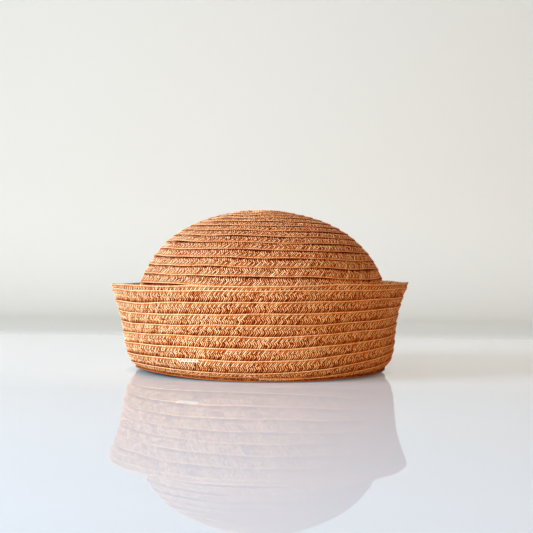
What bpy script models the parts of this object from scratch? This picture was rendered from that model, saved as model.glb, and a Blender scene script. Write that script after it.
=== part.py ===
"""Straw sailor hat with a domed crown and a turned-up brim, sewn from plaited braid.

Crown and brim are two strips of braid, each wound in one unbroken spiral whose turns
lap and are sewn together. The hat stands on the folded braid of its head line.
Metres, +Z up, the front is -Y and the origin is the middle of the base.
"""

import math

import bmesh
import bpy
import numpy as np
from mathutils import Vector

# Head opening, inside the sweatband
HEAD_LENGTH = 0.1849
HEAD_WIDTH = 0.1777

# Crown, seen from the side
CROWN_HEIGHT = 0.124
CROWN_WIDEST_HEIGHT = 0.051
CROWN_SWELL = 0.0034
CROWN_EYE = 0.0008
CROWN_FIRST_ROW = 0.0028

# Brim, seen from the side: a curve that leaves its foot outwards and flares to its edge
BRIM_HEIGHT = 0.067
BRIM_FLARE = 0.0195
BRIM_FOOT_REACH = 0.0092
BRIM_FOOT_RISE = 0.0081
BRIM_EDGE_REACH = 0.0116
BRIM_EDGE_DROP = 0.029
BRIM_TOP_ROW = 0.0034
BRIM_LEAST_START = 0.0003
BRIM_FOOT_TUCK = 0.001

# Straw braid and its laps
BRAID_WIDTH = 0.0098
BRAID_THICKNESS = 0.0008
CROWN_LAP = 0.0019
BRIM_LAP = 0.0014
LAP_GAP = 0.00065

# Folded braid round the head line
HEADLINE_HEIGHT = 0.0026
HEADLINE_SETBACK = 0.0012
HEADLINE_ROUND = 0.0008

# Sweatband
SWEATBAND_WIDTH = 0.022
SWEATBAND_THICKNESS = 0.0006
SWEATBAND_END_LAP = math.radians(12)
SWEATBAND_LIFT = 0.0006

# Threads
THREAD_RADIUS = 0.00015
LAP_SEAM = 0.002
HEADLINE_SEAM = 0.0011
SWEATBAND_SEAM = 0.0025
MENDING_RADIUS = 0.0003
MENDING_STITCHES = 6
MENDING_STITCH_LENGTH = 0.0024
MENDING_STITCH_RISE = 0.0024
MENDING_ANGLE = math.radians(242)
MENDING_ROW = 1

# Clearances between sewn pieces
SEAM_GAP = 0.0003
THREAD_GAP = 0.0003

# Where the spirals and the ribbon begin and end
BACK_ANGLE = math.radians(90)
CROWN_TAIL_ANGLE = math.radians(150)

# Fineness of the solids
STEPS_PER_TURN = 28
OUTLINE_SAMPLES = 400

# Sizes that follow from those above
HEAD_RADIUS = (HEAD_LENGTH + HEAD_WIDTH) / 4
WIDTH_SCALE = HEAD_WIDTH / (2 * HEAD_RADIUS)
LENGTH_SCALE = HEAD_LENGTH / (2 * HEAD_RADIUS)
LAP_STEP = BRAID_THICKNESS + LAP_GAP
CROWN_ROW = BRAID_WIDTH - CROWN_LAP
BRIM_ROW = BRAID_WIDTH - BRIM_LAP
CROWN_DEPTH = BRAID_THICKNESS + LAP_STEP * BRAID_WIDTH / CROWN_ROW
BRIM_DEPTH = BRAID_THICKNESS + LAP_STEP * BRAID_WIDTH / BRIM_ROW
SWEATBAND_STEP = SWEATBAND_THICKNESS + SEAM_GAP
FOOT_HEIGHT = HEADLINE_HEIGHT + SEAM_GAP
CROWN_FOOT_RADIUS = HEAD_RADIUS + SWEATBAND_THICKNESS + SWEATBAND_STEP / 2 + SEAM_GAP + CROWN_DEPTH
BRIM_FOOT_RADIUS = CROWN_FOOT_RADIUS + SEAM_GAP + BRIM_DEPTH
FULL_TURN = 2 * math.pi

STRAW = (0.52, 0.25, 0.105, 1)
STRAW_EDGE = (0.58, 0.30, 0.135, 1)
THREAD_TAN = (0.36, 0.16, 0.065, 1)
MENDING_WHITE = (0.82, 0.78, 0.70, 1)
RIBBON_BROWN = (0.20, 0.095, 0.045, 1)


class Outline:
    """A side view of the hat's outer face: mean radius and height along its length."""

    def __init__(self, radius, height, outer_side):
        self.points = np.stack([radius, height], axis=1)
        steps = np.linalg.norm(np.diff(self.points, axis=0), axis=1)
        self.lengths = np.concatenate([[0.0], np.cumsum(steps)])
        self.total = self.lengths[-1]
        self.tangents = np.gradient(self.points, self.lengths, axis=0)
        self.outer_side = outer_side

    def at(self, length, inset):
        """The radius and height at this length, this far inside the outer face."""
        inside = min(max(length, 0.0), self.total)
        point = [np.interp(inside, self.lengths, column) for column in self.points.T]
        tangent = [np.interp(inside, self.lengths, column) for column in self.tangents.T]
        size = math.hypot(*tangent)
        along_r, along_z = tangent[0] / size, tangent[1] / size
        past = length - inside
        radius = point[0] + past * along_r + self.outer_side * inset * along_z
        height = point[1] + past * along_z - self.outer_side * inset * along_r
        return radius, height


class Winding:
    """One braid wound along an outline, each turn a lap step deeper than the turn before it.

    The proud edge of a turn shows, and the other edge is tucked behind the turn before.
    """

    def __init__(self, outline, row, first, lowest, highest, start_angle, turns, top_row=None):
        self.outline = outline
        self.row = row
        self.first = first
        self.lowest = lowest
        self.highest = highest
        self.start_angle = start_angle
        self.turns = turns
        self.top_row = row if top_row is None else top_row

    def angle(self, turn):
        return self.start_angle + FULL_TURN * turn

    def reach(self, turn):
        return self.first + self.row * turn

    def proud(self, turn):
        """Where the edge that shows runs, drawn in on the last turn so that its tail is hidden."""
        if self.top_row == self.row:
            return min(self.reach(turn), self.highest)
        last = turn - (self.turns - 1)
        shown = np.interp(last, [0, 0.25, 0.75, 1], [self.row, self.top_row, self.top_row, 0])
        return self.reach(turn) - self.row + shown

    def tucked(self, turn):
        return max(self.reach(turn) - BRAID_WIDTH, self.lowest)

    def inset(self, turn, length):
        return LAP_STEP / self.row * (self.reach(turn) - length)

    def section(self, turn, length, lift=0.0):
        """Radius and height on the outer face, or this far off it."""
        return self.outline.at(length, self.inset(turn, length) - lift)

    def place(self, turn, length, lift=0.0):
        return oval(self.angle(turn), *self.section(turn, length, lift))

    def least_gap(self, cells):
        """The least gap between one turn and the next, between the sections at the same angle."""
        least = math.inf
        for step in range(int((self.turns - 1) * STEPS_PER_TURN)):
            turn = step / STEPS_PER_TURN
            over = [self.section(turn, s, -BRAID_THICKNESS) for s in self.lengths(turn, cells)]
            under = [self.section(turn + 1, s) for s in self.lengths(turn + 1, cells)]
            least = min(least, polyline_gap(over, under), polyline_gap(under, over))
        return least * min(WIDTH_SCALE, LENGTH_SCALE)

    def lengths(self, turn, cells):
        return np.linspace(self.tucked(turn), self.proud(turn), cells + 1)


def polyline_gap(points, line):
    """The least distance from any of the points to the line."""
    least = math.inf
    for start, end in zip(line, line[1:]):
        start, side = Vector(start), Vector(end) - Vector(start)
        for point in points:
            share = min(max((Vector(point) - start).dot(side) / side.length_squared, 0.0), 1.0)
            least = min(least, (Vector(point) - start - share * side).length)
    return least


def oval(angle, radius, height):
    """A point of the hat, whose plan is longer than it is wide, as a head is."""
    across = WIDTH_SCALE * radius * math.cos(angle)
    along = LENGTH_SCALE * radius * math.sin(angle)
    return Vector((across, along, height))


def crown_outline():
    """From the tip over the dome, which is a quarter ellipse, and down the bowed wall."""
    widest = CROWN_FOOT_RADIUS + CROWN_SWELL
    turn = np.linspace(0, math.pi / 2, OUTLINE_SAMPLES)
    dome_radius = widest * np.sin(turn)
    dome_height = CROWN_WIDEST_HEIGHT + (CROWN_HEIGHT - CROWN_WIDEST_HEIGHT) * np.cos(turn)
    drop = np.linspace(0, 1, OUTLINE_SAMPLES)[1:]
    wall_radius = widest - CROWN_SWELL * drop**2
    wall_height = CROWN_WIDEST_HEIGHT - (CROWN_WIDEST_HEIGHT - FOOT_HEIGHT) * drop
    radius = np.concatenate([dome_radius, wall_radius])
    height = np.concatenate([dome_height, wall_height])
    return Outline(radius, height, outer_side=1)


def brim_outline():
    """From the foot to the edge, along one cubic curve."""
    edge_radius = BRIM_FOOT_RADIUS + BRIM_FLARE
    handles = (
        (BRIM_FOOT_RADIUS, FOOT_HEIGHT),
        (BRIM_FOOT_RADIUS + BRIM_FOOT_REACH, FOOT_HEIGHT + BRIM_FOOT_RISE),
        (edge_radius - BRIM_EDGE_REACH, BRIM_HEIGHT - BRIM_EDGE_DROP),
        (edge_radius, BRIM_HEIGHT),
    )
    t = np.linspace(0, 1, OUTLINE_SAMPLES)
    weights = ((1 - t) ** 3, 3 * t * (1 - t) ** 2, 3 * t**2 * (1 - t), t**3)
    radius = sum(weight * handle[0] for weight, handle in zip(weights, handles))
    height = sum(weight * handle[1] for weight, handle in zip(weights, handles))
    return Outline(radius, height, outer_side=-1)


def whole_steps(turns):
    """This many turns or a little more, so that the facets of all turns line up."""
    return math.ceil(turns * STEPS_PER_TURN) / STEPS_PER_TURN


def on_facet(angle):
    """The nearest facet line, so that pieces that lie against each other share their facets."""
    return round(angle / FULL_TURN * STEPS_PER_TURN) * FULL_TURN / STEPS_PER_TURN


def crown_winding():
    outline = crown_outline()
    turns = whole_steps((outline.total + CROWN_ROW - CROWN_FIRST_ROW) / CROWN_ROW)
    start_angle = on_facet(CROWN_TAIL_ANGLE) - FULL_TURN * turns
    return Winding(
        outline, CROWN_ROW, CROWN_FIRST_ROW, CROWN_EYE, outline.total, start_angle, turns
    )


def brim_winding():
    """Whole rows counted down from the edge at the front, and what is left over starts the foot."""
    outline = brim_outline()
    rows = outline.total - BRIM_TOP_ROW
    full_rows = math.floor((rows - BRIM_ROW / 2 - BRIM_LEAST_START) / BRIM_ROW)
    first = rows - BRIM_ROW * full_rows - BRIM_ROW / 2
    turns = full_rows + 2
    return Winding(
        outline,
        BRIM_ROW,
        first,
        -BRIM_FOOT_TUCK,
        outline.total,
        on_facet(BACK_ANGLE),
        turns,
        BRIM_TOP_ROW,
    )


def new_material(name, colour, roughness):
    material = bpy.data.materials.new(name)
    material.use_nodes = True
    shader = material.node_tree.nodes["Principled BSDF"]
    shader.inputs["Base Color"].default_value = colour
    shader.inputs["Roughness"].default_value = roughness
    shader.inputs["Metallic"].default_value = 0.0
    material.diffuse_color = colour
    return material


def new_object(name, data, material, collection):
    obj = bpy.data.objects.new(name, data)
    data.materials.append(material)
    collection.objects.link(obj)
    return obj


def sheet(name, steps, cells, place, thickness, material, collection):
    """A grid bent to place(share along, share across), then thickened away from its outer face."""
    bm = bmesh.new()
    bmesh.ops.create_grid(bm, x_segments=steps, y_segments=cells, size=0.5)
    for vert in bm.verts:
        vert.co = place(vert.co.x + 0.5, vert.co.y + 0.5)
    mesh = bpy.data.meshes.new(name)
    bm.to_mesh(mesh)
    bm.free()
    mesh.shade_smooth()
    mesh.set_sharp_from_angle(angle=math.radians(40))
    obj = new_object(name, mesh, material, collection)
    solidify = obj.modifiers.new("Thickness", "SOLIDIFY")
    solidify.thickness = thickness
    solidify.offset = -1
    return obj


def wound_braid(name, winding, cells, rises, material, collection):
    """The strip of braid of one winding. It rises along the hat when its proud edge is on top."""
    steps = round(winding.turns * STEPS_PER_TURN)

    def place(along, across):
        turn = winding.turns * along
        share = across if rises else 1 - across
        length = winding.tucked(turn) + share * (winding.proud(turn) - winding.tucked(turn))
        return winding.place(turn, length)

    sheet(name, steps, cells, place, BRAID_THICKNESS, material, collection)
    print(f"{name}: least gap to itself {1000 * winding.least_gap(cells):.2f} mm")


def thread(name, points, radius, sides_from, material, collection):
    """A thread through the points, as a thin tube with closed ends."""
    curve = bpy.data.curves.new(name, "CURVE")
    curve.dimensions = "3D"
    curve.bevel_mode = "OBJECT"
    curve.bevel_object = sides_from
    curve.use_fill_caps = True
    curve.twist_mode = "Z_UP"
    spline = curve.splines.new("POLY")
    spline.points.add(len(points) - 1)
    for point, target in zip(spline.points, points):
        point.co = (*target, 1)
        point.radius = radius
    return new_object(name, curve, material, collection)


def thread_section(collection):
    """The three-sided section, one metre in radius, that every thread is drawn with."""
    curve = bpy.data.curves.new("thread_section", "CURVE")
    curve.dimensions = "2D"
    curve.fill_mode = "NONE"
    spline = curve.splines.new("POLY")
    spline.points.add(2)
    for index, point in enumerate(spline.points):
        turn = -FULL_TURN * index / 3
        point.co = (math.cos(turn), math.sin(turn), 0, 1)
    spline.use_cyclic_u = True
    section = bpy.data.objects.new("thread_section", curve)
    section.hide_render = True
    section.display_type = "WIRE"
    collection.objects.link(section)
    return section


def lap_seam(winding, first_turn, last_turn):
    """Points of the sewing line, a set way in from the proud edge, just off the outer face."""
    lift = THREAD_GAP + THREAD_RADIUS
    first_step = math.ceil(first_turn * STEPS_PER_TURN)
    last_step = math.floor(last_turn * STEPS_PER_TURN)
    turns = [step / STEPS_PER_TURN for step in range(first_step, last_step + 1)]
    return [winding.place(turn, winding.proud(turn) - LAP_SEAM, lift) for turn in turns]


def headline_braid(material, collection):
    """A folded braid under the lower edges of crown and brim, flat below, as a turned ring."""
    inner = CROWN_FOOT_RADIUS - CROWN_DEPTH
    outer = BRIM_FOOT_RADIUS - HEADLINE_SETBACK
    middle = HEADLINE_HEIGHT / 2
    profile = (
        (outer - HEADLINE_ROUND, HEADLINE_HEIGHT),
        (outer, middle),
        (outer - HEADLINE_ROUND, 0),
        (inner + HEADLINE_ROUND, 0),
        (inner, middle),
        (inner + HEADLINE_ROUND, HEADLINE_HEIGHT),
    )
    bm = bmesh.new()
    corners = [bm.verts.new((radius, 0, height)) for radius, height in profile]
    for start, end in zip(corners, corners[1:] + corners[:1]):
        bm.edges.new((start, end))
    mesh = bpy.data.meshes.new("headline_braid")
    bm.to_mesh(mesh)
    bm.free()
    ring = new_object("headline_braid", mesh, material, collection)
    ring.scale = (WIDTH_SCALE, LENGTH_SCALE, 1)
    screw = ring.modifiers.new("Turn", "SCREW")
    screw.steps = 2 * STEPS_PER_TURN
    screw.render_steps = screw.steps
    screw.use_merge_vertices = True
    screw.merge_threshold = 0.00001


def sweatband_face(crown, turn, rise):
    """Radius and height on the sweatband's outer face, this far up from its lower edge."""
    inset = CROWN_DEPTH + SEAM_GAP + SWEATBAND_STEP * turn
    return crown.outline.at(crown.outline.total - SWEATBAND_LIFT - rise, inset)


def sweatband(crown, material, collection):
    """A ribbon inside the crown, whose last end laps inside its first at the back."""
    turns = whole_steps(1 + SWEATBAND_END_LAP / FULL_TURN)

    def place(along, across):
        angle = on_facet(BACK_ANGLE) + FULL_TURN * turns * along
        return oval(angle, *sweatband_face(crown, turns * along, SWEATBAND_WIDTH * across))

    steps = round(turns * STEPS_PER_TURN)
    sheet("sweatband", steps, 2, place, SWEATBAND_THICKNESS, material, collection)


def sweatband_seam(crown):
    """One round of stitching just off the ribbon's inner face."""
    lift = SWEATBAND_THICKNESS + THREAD_GAP + THREAD_RADIUS
    points = []
    for step in range(2, STEPS_PER_TURN - 1):
        turn = step / STEPS_PER_TURN
        radius, height = sweatband_face(crown, turn, SWEATBAND_SEAM)
        points.append(oval(on_facet(BACK_ANGLE) + FULL_TURN * turn, radius - lift, height))
    return points


def headline_seam(brim):
    """One round of stitching low on the brim's first turn, just off its outer face."""
    lift = THREAD_GAP + THREAD_RADIUS
    turns = [step / STEPS_PER_TURN for step in range(1, STEPS_PER_TURN)]
    return [brim.place(turn, HEADLINE_SEAM, lift) for turn in turns]


def mending_stitches(brim):
    """A zigzag over the sewing line of one brim row, which it holds down."""
    turn_of_angle = (MENDING_ANGLE - brim.start_angle) / FULL_TURN + MENDING_ROW
    seam = brim.proud(turn_of_angle) - LAP_SEAM
    radius = brim.section(turn_of_angle, seam)[0]
    lift = 2 * THREAD_GAP + 2 * THREAD_RADIUS + MENDING_RADIUS
    points = []
    for corner in range(2 * MENDING_STITCHES + 1):
        along = (corner / 2 - MENDING_STITCHES / 2) * MENDING_STITCH_LENGTH
        side = 1 if corner % 2 else -1
        turn = turn_of_angle + along / (FULL_TURN * radius)
        points.append(brim.place(turn, seam + side * MENDING_STITCH_RISE / 2, lift))
    return points


def main():
    for obj in list(bpy.data.objects):
        bpy.data.objects.remove(obj)

    hat = bpy.data.collections.new("straw_hat")
    guides = bpy.data.collections.new("guides")
    for collection in (hat, guides):
        bpy.context.scene.collection.children.link(collection)
    guides.hide_render = True

    straw = new_material("straw_braid", STRAW, 0.55)
    straw_edge = new_material("headline_straw", STRAW_EDGE, 0.55)
    tan_thread = new_material("sewing_thread", THREAD_TAN, 0.7)
    white_thread = new_material("mending_cotton", MENDING_WHITE, 0.8)
    ribbon = new_material("grosgrain_ribbon", RIBBON_BROWN, 0.75)

    crown = crown_winding()
    brim = brim_winding()
    section = thread_section(guides)

    wound_braid("crown_braid", crown, 1, False, straw, hat)
    wound_braid("brim_braid", brim, 3, True, straw, hat)
    headline_braid(straw_edge, hat)
    sweatband(crown, ribbon, hat)

    crown_seam = lap_seam(crown, 0.3, crown.turns - 1)
    thread("crown_lap_thread", crown_seam, THREAD_RADIUS, section, tan_thread, hat)
    brim_seam = lap_seam(brim, 0.3, brim.turns - 1)
    thread("brim_lap_thread", brim_seam, THREAD_RADIUS, section, tan_thread, hat)
    thread("headline_thread", headline_seam(brim), THREAD_RADIUS, section, tan_thread, hat)
    thread("sweatband_thread", sweatband_seam(crown), THREAD_RADIUS, section, tan_thread, hat)
    mending = mending_stitches(brim)
    thread("mending_thread", mending, MENDING_RADIUS, section, white_thread, hat)


main()
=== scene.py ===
"""Looks of the straw sailor hat: plaited straws, selvages, stitches and ribbon around its solids."""

import math

import bpy
import numpy as np
from mathutils import Euler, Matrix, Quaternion


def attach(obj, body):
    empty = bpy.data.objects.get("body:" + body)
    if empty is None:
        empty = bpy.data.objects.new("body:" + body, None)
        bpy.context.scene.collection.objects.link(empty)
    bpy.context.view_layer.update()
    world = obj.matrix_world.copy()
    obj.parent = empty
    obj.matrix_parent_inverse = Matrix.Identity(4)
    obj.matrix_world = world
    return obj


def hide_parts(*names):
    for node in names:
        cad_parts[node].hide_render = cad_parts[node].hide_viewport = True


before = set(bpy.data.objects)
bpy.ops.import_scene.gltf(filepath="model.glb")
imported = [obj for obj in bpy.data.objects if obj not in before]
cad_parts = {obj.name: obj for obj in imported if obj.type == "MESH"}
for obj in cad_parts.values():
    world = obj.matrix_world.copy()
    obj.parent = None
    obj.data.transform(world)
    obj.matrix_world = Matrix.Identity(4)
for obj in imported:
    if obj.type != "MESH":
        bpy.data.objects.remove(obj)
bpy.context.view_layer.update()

FULL_TURN = 2 * math.pi
FRONT = math.radians(270)
BACK = math.radians(90)

# The hat's form in metres, close to that of its solids
HEAD_LENGTH = 0.1849
HEAD_WIDTH = 0.1777
CROWN_HEIGHT = 0.1236
CROWN_WIDEST_HEIGHT = 0.051
CROWN_SWELL = 0.0034
CROWN_FULLNESS = 2.08
CROWN_FOOT_RADIUS = 0.0946
CROWN_DEPTH = 0.0026
BRIM_FOOT_RADIUS = 0.0974
BRIM_HEIGHT = 0.067
BRIM_FLARE = 0.0195
BRIM_FOOT_REACH = 0.0092
BRIM_FOOT_RISE = 0.0081
BRIM_EDGE_REACH = 0.0116
BRIM_EDGE_DROP = 0.029
BRIM_TOP_ROW = 0.0034
BRIM_TAIL_SHARES = (0, 0.25, 0.75, 1)
BRIM_FOOT_TUCK = 0.001
FOOT_HEIGHT = 0.0029
OUTLINE_SAMPLES = 600
TURN_SAMPLES = 200
LEAST_SAMPLES = 8

# Rows of braid
BRAID_WIDTH = 0.0098
BRIM_ROW = 0.0084
BRIM_FULL_ROWS = 7
CROWN_ROW = 0.0075
CROWN_FIRST_ROW = 0.0028
CROWN_EYE = 0.0008
CROWN_FRONT_EDGE = 0.073
CROWN_LAP_STEP = 0.00065
BRIM_LAP_STEP = 0.0009
CROWN_PIECES = 6
BRIM_PIECES = 5

# Straws of a braid, which cross in its middle and turn round at its selvages
STRAW_PITCH = 0.00166
STRAW_THICKNESS = 0.00038
STRAW_COVER = 0.51
INNER_COVER = 1.22
COVER_RISE = 1.5
STRAW_SHIFT_SPREAD = 0.06
STRAW_LEAN_SPREAD = 0.025
STRAW_LIFT_SPREAD = 0.00004
STRAW_WIDTH_SPREAD = 0.06
STRAW_CORNERS = 6
NEAR_SHARES = (0.02, 0.08, 0.14, 0.19, 0.24, 0.3, 0.37, 0.42, 0.47, 0.57, 0.62, 0.67, 0.76, 0.985)
FAR_SHARES = (0.02, 0.37, 0.42, 0.47, 0.57, 0.62, 0.67, 0.76, 0.985)
FIBRE_WIDTH = 0.00016
FIBRE_LENGTH = 0.003
FIBRE_SEPARATION = 7.3
OUTER_LAYER = -0.00019
INNER_LAYER = -0.00057
CROSSING_PLACES = (0.0041, 0.0061)
CROSSING_SPREAD = 0.00025
CROSSING_HALF = 0.0005
LEAN_NEAR = 0.9
LEAN_FAR = 0.65
PAIR_PLACE = 0.0028
PAIR_SPREAD = 0.0007
PAIR_DIP = 0.0004
PAIR_SWELL = 0.25
SELVAGE_RADIUS = 0.00031
SELVAGE_INSET = 0.00034
SELVAGE_DEPTH = -0.0003
SELVAGE_SWELL = 0.1

# Sewing
LAP_SEAM = 0.0014
SEAM_DIP = 0.0003
SEAM_SPREAD = 0.0006
STITCH_PITCH = 0.0023
STITCH_LENGTH = 0.0017
THREAD_RADIUS = 0.00017
THREAD_CORNERS = 6
STITCH_SHARES = (-0.5, -0.38, 0.0, 0.38, 0.5)
STITCH_ARCH = (-0.0005, -0.0001, 0.0, -0.0001, -0.0005)
STITCH_SLANT_SPREAD = 0.00012
STITCH_SWAY = 0.00006
STITCH_LIFT = -0.0001
HEADLINE_STITCH_LIFT = -0.0002
CROWN_STITCH_START = 0.4
CROWN_STITCH_SPLIT = 14.0
BRIM_STITCH_MARGINS = (0.2, 0.1)
HEADLINE_STITCH_TURNS = (0.02, 0.98)
SWEATBAND_STITCH_TURNS = (0.05, 0.97)

# Tones, from 0 for the darkest straw to 1 for the palest. A selvage has a middle tone and its rise
# and fall, and a lap the darkness of the shadow painted under it and the width that it fades over.
# Painted shade: the crown's straws are given a lower tone than the brim's
CROWN_TONE = 0.9
BRIM_TONE = 0.98
HEADLINE_TONE = 0.6
STRAW_TONE_SPREAD = 0.13
SELVAGE_TONE_SPREAD = 0.05
INNER_SELVAGE_TONES = (0.7, 0.1)
CROWN_SELVAGE_TONES = (0.69, 0.25)
BRIM_SELVAGE_TONES = (0.88, 0.14)
LIP_TONE = 0.36
# Painted shade: each straw darker at its two edges, where it meets the next straw
SIDE_SHADE = -0.48
# Painted shade: a straw's faces that lie under the other layer of straws are darkest
UNDER_SHADE = -1.0
# Painted shade in the groove that the seam pulls into the straws
SEAM_SHADE = -0.55
PAIR_TONE = 0.15
# Painted shadow where each row goes under the proud edge of the next: its darkening and the width that it
# fades over
CROWN_LAP_SHADE = (-0.9, 0.0013)
BRIM_LAP_SHADE = (-0.52, 0.0024)
NO_LAP_SHADE = (0.0, 0.001)
# Painted shade: the brim's rows darker in their lower part, which faces down, away from the light
BRIM_FALL_SHADE = -0.04
FALL_WIDTH = 0.002

# Folded braid under the foot
HEADLINE_HEIGHT = 0.0026
HEADLINE_INNER = 0.092
HEADLINE_OUTER = 0.0962
HEADLINE_CLEARANCE = 0.00015
HEADLINE_SQUARENESS = 0.6
HEADLINE_SEAM = 0.0011
LIP_RADIUS = 0.00042
LIP_PLACE = (0.0958, 0.0007)
LIP_POINTS = 760
LIP_SPAN = 0.998
LIP_SEED = 42

# Ribbon inside the crown
SWEATBAND_WIDTH = 0.022
SWEATBAND_THICKNESS = 0.0006
SWEATBAND_LIFT = 0.0006
SWEATBAND_GAP = 0.0003
SWEATBAND_STEP = 0.0009
SWEATBAND_TURNS = 1 + 12 / 360
SWEATBAND_SEAM = 0.0025
SWEATBAND_POINTS = 7
RIB_PITCH = 0.0009
RIB_DEPTH = 0.00006
RIB_STEPS = 4

# White mending stitches at the front, on the sewing line of the second row
MENDING_ANGLE = math.radians(241.4)
MENDING_ROW = 1
MENDING_STITCHES = 6
MENDING_STITCH_LENGTH = 0.003
MENDING_STITCH_RISE = 0.0011
MENDING_RADIUS = 0.00045
MENDING_CORNERS = 8
MENDING_STEPS = 16
MENDING_SHARPNESS = 0.96
MENDING_DROP = 0.0002
MENDING_TAIL = 0.0024
MENDING_TAIL_FADE = 0.45
MENDING_LIFT = 0.0004
MENDING_DIVE = 0.0005

# Unevenness of a hand-sewn hat
ROW_SWAY = 0.0003
ROW_WANDER = 0.00016
ROW_HOLD = 0.015
WANDER_WAVES = (2.37, 4.61, 7.83, 13.29)
RIPPLE_WAVES = 6
RIPPLE_LOBES = (2, 9)
RIPPLE_ROWS = 110
DENT_DEPTH = 0.00035
# Each is an angle, its spread, a row below the edge, its spread in rows, and a pull towards the edge
BRIM_SHIFTS = (
    (math.radians(229), math.radians(20), 4.8, 1.4, 0.0017),
    (math.radians(270), math.radians(45), 4.3, 0.8, 0.0007),
    (math.radians(275), math.radians(40), 7.0, 0.6, -0.0014),
    (math.radians(215), math.radians(16), 1.5, 1.5, -0.0015),
    (math.radians(148), math.radians(35), 0.0, 1.5, -0.0012),
)
BRIM_SHIFT_FADE = 0.005
BRIM_SQUEEZE = 0.155
BRIM_SQUEEZE_SPREAD = math.radians(55)
BRIM_BEGIN = -0.5
CROWN_LEAN = 0.0028
CROWN_LEAN_FOOT = 0.02
CROWN_LEAN_RISE = 0.07
# Each is an angle, its spread and a lift
FOOT_LIFTS = (
    (math.radians(205), math.radians(36), 0.003),
    (math.radians(312), math.radians(18), 0.0009),
    (math.radians(354), math.radians(28), 0.0022),
)
FOOT_LIFT_FADE = 0.018
FOOT_BULGE = 0.0036
FOOT_BULGE_SPREAD = math.radians(50)
FOOT_BULGE_FADE = 0.028

HEAD_RADIUS = (HEAD_LENGTH + HEAD_WIDTH) / 4
WIDTH_SCALE = HEAD_WIDTH / (2 * HEAD_RADIUS)
LENGTH_SCALE = HEAD_LENGTH / (2 * HEAD_RADIUS)

# Finish of straw, thread and ribbon
STRAW_SPECULAR = 0.08
STRAW_ROUGHNESS = 0.48
FIBRE_TONE = 0.1
FIBRE_GLOSS = 0.2
STAIN_TONE = 0.16
STAIN_SCALE = 26.0
THREAD_PLIES = 2.0
THREAD_PLY_SHADE = 0.25
THREAD_FUZZ_SCALE = 1.4
THREAD_STOPS = (0.2, 0.7)
THREAD_SHEEN = 0.15
RIBBON_WEAVE_SCALE = 900.0
RIBBON_WEAVE_STRETCH = (1, 1, 6)
RIBBON_WEAR_SCALE = 60.0
RIBBON_STOPS = (0.3, 0.7)
RIBBON_ROUGHNESS = 0.75
RIBBON_SHEEN = 0.2

# Bake maps: rings in a cell, and the shares of a cell that the sides and caps of a tube take
MAP_BLOCK = 64
MAP_MARGIN = 0.05
MAP_SIDE_WIDTH = 0.9
MAP_SIDE_HEIGHT = 0.75
MAP_CAP_PLACES = (0.75, 0.25)
MAP_CAP_HEIGHT = 0.89
MAP_CAP_HALF_WIDTH = 0.15
MAP_CAP_HALF_HEIGHT = 0.06

# Stage: a floor that bends up into a wall, in metres from the hat
STAGE_NEAR = -14.0
STAGE_FAR = 1.05
STAGE_HEIGHT = 3.0
STAGE_HALF_WIDTH = 14.0
STAGE_BEND = 0.2
STAGE_BEND_POINTS = 13
STAGE_COLOUR_RANGE = (-0.5, 0.5)
STAGE_WALL_RANGE = (0.34, 0.52)
STAGE_FADE_RANGE = (0.9, 2.2)
STAGE_GLOW_RANGE = (0.084, 0.104)
STAGE_GLOW = 0.27
STAGE_GLOW_COLOUR = (0.97, 0.985, 1.0, 1.0)
STAGE_ROUGHNESS = 0.008
STAGE_WALL_ROUGHNESS = 0.5
STAGE_SPECULAR = 0.24
STAGE_MATT_SHARE = 0.25
STAGE_WARMTH = (0.85, 0.66, 0.42)

# Light: each lamp's name, place, energy and colour
LAMPS = (
    ("key", (-1.5, -0.8, 0.5), 24, (0.94, 1.0, 1.07)),
    ("fill", (-0.35, -1.5, 0.35), 5.4, (1.0, 0.7, 0.36)),
    ("bounce", (0.9, -1.15, 0.2), 4.3, (1.0, 0.32, 0.0)),
)
LAMP_SIZE = 1.0
LAMP_SPREAD = math.radians(125)
SKY_STRENGTH = 0.55

# Camera, square on to the front and a little above the brim's edge
CAMERA_DISTANCE = 0.88
CAMERA_HEIGHT = 0.08
CAMERA_SENSOR = 36
CAMERA_LENS = 76.75
CAMERA_TILT = math.radians(0.01)
CAMERA_TURN = math.radians(-0.37)
CAMERA_ROLL = math.radians(0.64)


def srgb(red, green, blue):
    """A linear colour from one on the 0 to 255 scale."""
    shares = np.array([red, green, blue]) / 255
    linear = np.where(shares < 0.04045, shares / 12.92, ((shares + 0.055) / 1.055) ** 2.4)
    return (*linear, 1.0)


# Colours, from the darkest tone or the nearest place to the palest or farthest
PLAIN_BACKGROUND = (0.78, 0.8, 0.81, 1.0)
STAGE_STOPS = (
    (0.0, srgb(183, 208, 238)),
    (0.35, srgb(176, 194, 213)),
    (0.6, srgb(201, 215, 228)),
    (0.84, srgb(209, 224, 236)),
    (1.0, srgb(206, 219, 226)),
)
STRAW_STOPS = (
    (0.0, srgb(76, 10, 2)),
    (0.25, srgb(142, 47, 12)),
    (0.5, srgb(202, 114, 54)),
    (0.75, srgb(231, 178, 121)),
    (1.0, srgb(253, 234, 203)),
)
# The crown's straw: the brim's colours made darker and less saturated, as painted shade and sheen on the
# upward-facing crown
CROWN_SHADED_STOPS = (
    (0.0, srgb(74, 10, 2)),
    (0.25, srgb(136, 48, 13)),
    (0.5, srgb(188, 111, 56)),
    (0.75, srgb(214, 171, 123)),
    (1.0, srgb(238, 224, 198)),
)
HEADLINE_STOPS = (
    (0.0, srgb(84, 32, 12)),
    (0.5, srgb(178, 106, 54)),
    (1.0, srgb(230, 178, 122)),
)
TAN_THREAD = (srgb(170, 84, 30), srgb(226, 140, 66))
WHITE_THREAD = (srgb(226, 220, 212), srgb(255, 253, 249))
RIBBON_COLOURS = (srgb(96, 62, 40), srgb(140, 98, 68))
SKY_STOPS = (
    (0.0, (1.0, 1.0, 1.0, 1.0)),
    (0.5, (0.5, 0.35, 0.18, 1.0)),
    (0.82, (0.28, 0.1, 0.0, 1.0)),
)


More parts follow.
